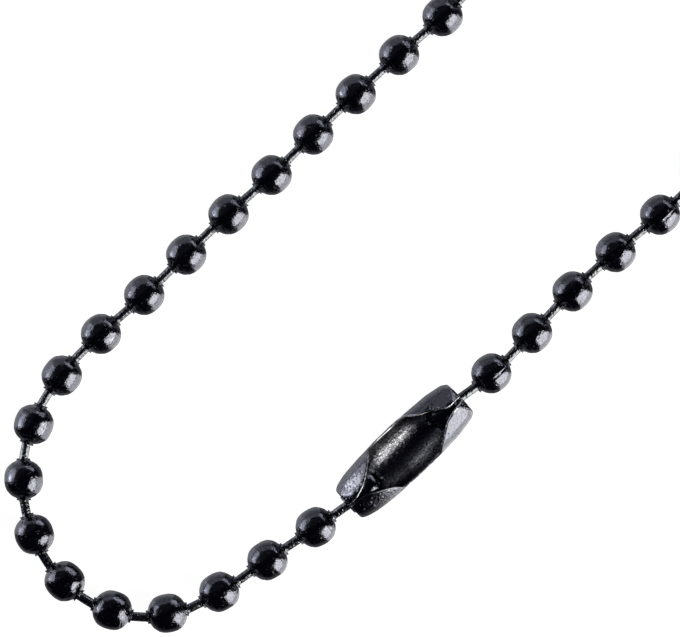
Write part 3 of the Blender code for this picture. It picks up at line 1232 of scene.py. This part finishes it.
class BALLCHAIN_OT_coupling(bpy.types.Operator):
    """Roll the coupling's sheet barrel with its mouth, slits and domed ends"""

    bl_idname = "ball_chain.coupling"
    bl_label = "Coupling"

    def execute(self, context):
        """Roll the sheet, give it its wall and its marks, and lay it in its place."""
        sizes = context.scene.chain_coupling
        finish = context.scene.chain_finish
        rows = smooth_rows(COUPLING_ROWS, ROWS_BETWEEN)
        _, middle = lay_chain()
        barrel = roll_sheet(rows)
        dress(
            barrel,
            lacquer_finish("coupling_lacquer", finish, COUPLING_SKIN, COUPLING_GLOSS),
            inside_finish("coupling_inside", finish),
            cut_edge_finish("coupling_cut_edge", finish),
        )
        thicken(barrel, sizes)
        # Rubbing, with painted highlights inside the coupling and on one flap
        mark(barrel, "wear_and_highlight", lambda place: coupling_rub_and_highlight(place, rows, sizes.sheet))
        mark(barrel, "grit", coupling_grit)
        # Burrs, which also paint highlight lines along the cut edge
        mark(barrel, "burr_and_highlight", coupling_burr_and_highlight)
        take(barrel)
        barrel.location = middle
        bpy.ops.object.transform_apply(location=True, rotation=True, scale=True)
        dent(barrel, sizes.dent_size, sizes.dent_depth)
        smooth(barrel)
        enter_piece(barrel, "coupling")
        return {"FINISHED"}


# Finish and studio settings

class ChainFinish(bpy.types.PropertyGroup):
    """Colours and surface of the chain."""

    lacquer_colour: colour_setting(
        "Lacquer", "Colour that the blue-black lacquer reflects", (0.1, 0.102, 0.124))
    link_colour: colour_setting("Link", "Colour that the links reflect", (0.12, 0.125, 0.14))
    inside_colour: colour_setting(
        "Coupling inside", "Colour of the rough inside of the coupling", (0.09, 0.092, 0.108))
    # The rubbed metal colour also paints highlights inside the coupling and on one flap
    worn_and_highlight_colour: colour_setting(
        "Rubbed metal", "Colour of the metal where the lacquer is rubbed thin", (0.48, 0.48, 0.535))
    grain_size: length_setting("Grain size", "Size of the lacquer's fine grain", 0.14, 0.01)
    wave_size: length_setting("Wave size", "Size of the lacquer's slow waves", 0.5, 0.05)


class StudioSettings(bpy.types.PropertyGroup):
    """Floor and light."""

    floor_colour: colour_setting("Floor", "Colour of the floor", (0.3, 0.3, 0.3))
    floor_glow: light_setting("Floor light", "How bright the lit floor shines by itself", 0.95)
    board_glow: light_setting(
        "Board light", "Brightness of the board under the floor, seen in the gloss alone", 0.25)
    key_brightness: light_setting(
        "Key light", "Brightness of the large soft box at the front", 6.4)
    key_low_brightness: light_setting(
        "Key light below", "Brightness of the key light's image in the table", 2.9)
    key_rim_brightness: light_setting(
        "Key light far below", "Brightness of the key light in the table close to the chain", 1.8)
    fill_brightness: light_setting(
        "Fill light", "Brightness of the soft box at the back left", 2.3)
    fill_top_brightness: light_setting(
        "Fill light above", "Brightness of the soft upper edge of the fill light", 0.16)
    fill_low_brightness: light_setting(
        "Fill light below", "Brightness of the fill light's image in the table", 1.25)
    fill_rim_brightness: light_setting(
        "Fill light far below", "Brightness of the fill light in the table close to the chain", 0.6)
    fill_halo_brightness: light_setting(
        "Fill halo", "Brightness of the soft ring around the fill's bright part", 1.6)
    fill_core_brightness: light_setting(
        "Fill core", "Brightness of the small bright part low in the fill", 6.0)
    back_brightness: light_setting("Back light", "Brightness of the dim wall behind", 0.5)
    sky_brightness: light_setting("Ceiling", "Brightness of the dim ceiling over the back", 0.035)
    end_brightness: light_setting(
        "End light", "Brightness of the low strip past the right end", 2.2)


# Stage

def soft_box(name, brightness):
    """Upright soft box that covers its part of the view from the chain."""
    heading, half_spread, bottom, top = SOFT_BOXES[name]
    low = LIGHT_DISTANCE * math.tan(math.radians(bottom))
    high = LIGHT_DISTANCE * math.tan(math.radians(top))
    towards = direction(heading)
    place = towards * LIGHT_DISTANCE + UP * (low + high) / 2
    bpy.ops.object.light_add(type="AREA", location=place)
    lamp = bpy.context.object
    lamp.name = name
    lamp.rotation_euler = (-towards).to_track_quat("-Z", "Y").to_euler()
    lamp.data.shape = "RECTANGLE"
    lamp.data.color = TINTS.get(name, COOL)
    lamp.data.size = 2 * LIGHT_DISTANCE * math.tan(math.radians(half_spread))
    lamp.data.size_y = high - low
    lamp.data.energy = brightness * math.pi * lamp.data.size * lamp.data.size_y
    lamp.visible_camera = False


def floor_finish(studio):
    """Pale glossy sheet that is lit from below."""
    material, tree, shader, place = new_finish("floor")
    fill(tree, shader, Base_Color=(*studio.floor_colour, 1.0), Emission_Color=WHITE,
         Emission_Strength=studio.floor_glow, Roughness=uneven(tree, place, *FLOOR_PATCHES))
    return material


def glow_board(studio):
    """Lit board far under the floor, which only the gloss of the chain's rims catches."""
    select_nothing()
    bpy.ops.mesh.primitive_circle_add(
        vertices=GLOW_SIDES,
        radius=GLOW_DEPTH * math.tan(math.radians(GLOW_END)),
        fill_type="NGON",
        location=(0, 0, -GLOW_DEPTH),
    )
    board = bpy.context.object
    board.name = "glow_board"
    bpy.ops.object.transform_apply(location=True, rotation=True, scale=True)
    material, tree, shader, place = new_finish("glow_board")
    flat = add(tree, "ShaderNodeVectorMath", operation="MULTIPLY")
    feed(tree, flat.inputs[0], place)
    feed(tree, flat.inputs[1], (1.0, 1.0, 0.0))
    reach = add(tree, "ShaderNodeVectorMath", operation="LENGTH")
    feed(tree, reach.inputs[0], flat.outputs[0])
    full = GLOW_DEPTH * math.tan(math.radians(GLOW_FULL))
    end = GLOW_DEPTH * math.tan(math.radians(GLOW_END))
    glow = remap(tree, reach.outputs["Value"], full, end, studio.board_glow, 0.0)
    fill(tree, shader, Base_Color=BLACK, Emission_Color=GLOW_COLOUR, Emission_Strength=glow)
    dress(board, material)
    board.visible_camera = False
    board.visible_shadow = False


def pale_surround():
    """World that is dark for the chain and pale where the camera looks past the floor."""
    world = bpy.data.worlds.new("studio")
    bpy.context.scene.world = world
    world.use_nodes = True
    tree = world.node_tree
    dark = tree.nodes["Background"]
    fill(tree, dark, Color=SURROUND_COLOUR, Strength=SURROUND_STRENGTH)
    pale = add(tree, "ShaderNodeBackground")
    fill(tree, pale, Color=WHITE, Strength=1.0)
    rays = add(tree, "ShaderNodeLightPath")
    join = add(tree, "ShaderNodeMixShader")
    sources = (rays.outputs["Is Camera Ray"], dark.outputs[0], pale.outputs[0])
    for socket, source in zip(join.inputs, sources):
        feed(tree, socket, source)
    fill(tree, tree.nodes["World Output"], Surface=join.outputs[0])


class BALLCHAIN_OT_stage(bpy.types.Operator):
    """Lay the pale floor, and set the soft boxes and the camera"""

    bl_idname = "ball_chain.stage"
    bl_label = "Stage"

    def execute(self, context):
        """Floor, surround, lights and camera."""
        studio = context.scene.chain_studio
        select_nothing()
        bpy.ops.mesh.primitive_circle_add(
            vertices=FLOOR_SIDES, radius=FLOOR_RADIUS, fill_type="NGON")
        floor = context.object
        floor.name = "floor"
        bpy.ops.object.mode_set(mode="EDIT")
        bpy.ops.mesh.select_all(action="SELECT")
        bpy.ops.mesh.inset(thickness=FLOOR_RIM)
        bpy.ops.object.mode_set(mode="OBJECT")
        dress(floor, floor_finish(studio))
        floor.visible_glossy = False
        floor.visible_shadow = False
        glow_board(studio)
        pale_surround()
        for name in SOFT_BOXES:
            soft_box(name, getattr(studio, name + "_brightness"))

        distance = VIEW_WIDTH * LENS / SENSOR
        bpy.ops.object.camera_add(location=Vector(VIEW_MIDDLE) + UP * distance,
                                  rotation=(0, 0, VIEW_TURN))
        camera = context.object
        camera.name = "camera"
        camera.data.lens = LENS
        camera.data.sensor_width = SENSOR
        camera.data.clip_start = CLIP_START
        camera.data.clip_end = CLIP_END
        context.scene.camera = camera
        context.scene.view_settings.view_transform = "Standard"
        return {"FINISHED"}


class BALLCHAIN_PT_panel(bpy.types.Panel):
    """Sizes, finishes and pieces of the chain"""

    bl_idname = "BALLCHAIN_PT_panel"
    bl_label = "Ball Chain"
    bl_space_type = "VIEW_3D"
    bl_region_type = "UI"
    bl_category = "Ball Chain"

    def draw(self, context):
        """List every size and colour, and a button for every piece."""
        layout = self.layout
        for group in SCENE_GROUPS:
            settings = getattr(context.scene, group)
            box = layout.box()
            box.label(text=settings.bl_rna.description)
            for name in settings.bl_rna.properties.keys():
                if name not in ("name", "rna_type"):
                    box.prop(settings, name)
        for operator in OPERATORS:
            layout.operator(operator.bl_idname)


SCENE_GROUPS = {
    "chain_beads": BeadSizes,
    "chain_links": LinkSizes,
    "chain_coupling": CouplingSizes,
    "chain_finish": ChainFinish,
    "chain_studio": StudioSettings,
}
OPERATORS = (BALLCHAIN_OT_beads, BALLCHAIN_OT_links, BALLCHAIN_OT_coupling, BALLCHAIN_OT_stage)


def register():
    """Add the classes to Blender and the settings to the scene."""
    for group in (*SCENE_GROUPS.values(), *OPERATORS, BALLCHAIN_PT_panel):
        bpy.utils.register_class(group)
    for name, group in SCENE_GROUPS.items():
        setattr(bpy.types.Scene, name, bpy.props.PointerProperty(type=group))


def unregister():
    """Take the settings and the classes out again."""
    for name in SCENE_GROUPS:
        delattr(bpy.types.Scene, name)
    for group in reversed((*SCENE_GROUPS.values(), *OPERATORS, BALLCHAIN_PT_panel)):
        bpy.utils.unregister_class(group)


def main():
    """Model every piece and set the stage."""
    register()
    bpy.ops.ball_chain.beads()
    bpy.ops.ball_chain.links()
    bpy.ops.ball_chain.coupling()
    bpy.ops.ball_chain.stage()


if __name__ == "__main__":
    main()
